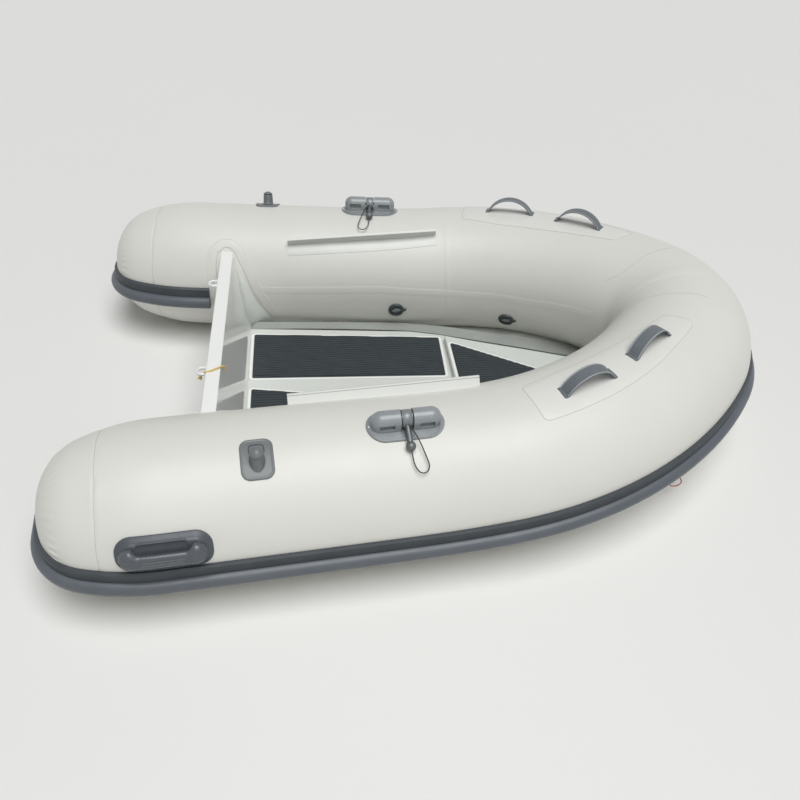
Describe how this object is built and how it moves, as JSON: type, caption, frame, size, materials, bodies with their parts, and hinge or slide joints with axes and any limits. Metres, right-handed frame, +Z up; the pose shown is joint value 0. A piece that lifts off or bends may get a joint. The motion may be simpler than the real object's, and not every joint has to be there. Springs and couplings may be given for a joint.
{
  "type": "rigid inflatable boat",
  "caption": "Small rigid inflatable boat afloat: inflated tube on a V-shaped metal hull, with a transom, padded deck, folding oarlocks, handles and rub rail.",
  "frame": {"origin": "centreline at the waterline, level with the tips of the stern cones", "axes": "+X to the bow, +Y to port, +Z up"},
  "size_m": [2.0442, 1.6562, 0.6367],
  "materials": {
    "tube_fabric": "satin",
    "rail_band": "matt",
    "rail_bead": "matt",
    "hull_paint": "satin",
    "transom_paint": "gloss",
    "guard_rubber": "matt",
    "deck_pad": "matt",
    "seat_rail": "satin",
    "fitting_grey": "satin",
    "valve_grey": "satin",
    "pin_metal": "satin",
    "webbing": "matt",
    "patch_fabric": "satin",
    "ring_steel": "brushed",
    "eye_paint": "gloss",
    "drain": "matt",
    "cord_black": "matt",
    "cord_yellow": "matt",
    "cord_red": "matt"
  },
  "bodies": {
    "boat": {"stern_cone_port": "tube_fabric", "stern_cone_starboard": "tube_fabric", "side_tube_port": "tube_fabric", "side_tube_starboard": "tube_fabric", "bow_quarter_port": "tube_fabric", "bow_quarter_starboard": "tube_fabric", "bow_nose_port": "tube_fabric", "bow_nose_starboard": "tube_fabric", "rail_band_port": "rail_band", "rail_band_starboard": "rail_band", "rail_bead_port": "rail_bead", "rail_bead_starboard": "rail_bead", "hull": "hull_paint", "deck_plate": "hull_paint", "bow_step": "hull_paint", "spray_strake_port": "hull_paint", "spray_strake_starboard": "hull_paint", "corner_knee_port": "hull_paint", "corner_knee_starboard": "hull_paint", "transom": "transom_paint", "keel_guard": "guard_rubber", "pad_port": "deck_pad", "pad_starboard": "deck_pad", "pad_bow": "deck_pad", "seat_rail_port": "seat_rail", "seat_rail_starboard": "seat_rail", "oarlock_base_port": "fitting_grey", "oarlock_base_starboard": "fitting_grey", "oar_peg_port": "fitting_grey", "oar_peg_starboard": "fitting_grey", "grab_handle_port": "fitting_grey", "grab_handle_starboard": "fitting_grey", "valve_aft_port": "valve_grey", "valve_aft_starboard": "valve_grey", "valve_fore_port": "valve_grey", "valve_fore_starboard": "valve_grey", "strap_handle_aft_port": "webbing", "strap_handle_aft_starboard": "webbing", "strap_handle_fore_port": "webbing", "strap_handle_fore_starboard": "webbing", "tow_patch_port": "patch_fabric", "tow_patch_starboard": "patch_fabric", "tow_ring_port": "ring_steel", "tow_ring_starboard": "ring_steel", "bow_eye": "ring_steel", "lifting_eye_port": "eye_paint", "lifting_eye_starboard": "eye_paint", "drain_fitting": "drain", "transom_cord": "cord_yellow", "ring_cord": "cord_red"},
    "pin_port": {"oarlock_pin_port": "pin_metal", "oarlock_cord_port": "cord_black"},
    "pin_starboard": {"oarlock_pin_starboard": "pin_metal", "oarlock_cord_starboard": "cord_black"}
  },
  "joints": [
    {"name": "oarlock_port_fold", "type": "hinge", "parent": "boat", "child": "pin_port", "pos_m": [0.87081, 0.56316, 0.43058], "axis": [-0.9954, 0.0958, 0], "range_deg": [0, 107.5]},
    {"name": "oarlock_starboard_fold", "type": "hinge", "parent": "boat", "child": "pin_starboard", "pos_m": [0.87081, -0.56316, 0.43058], "axis": [-0.9954, -0.0958, 0], "range_deg": [0, 107.5]}
  ]
}
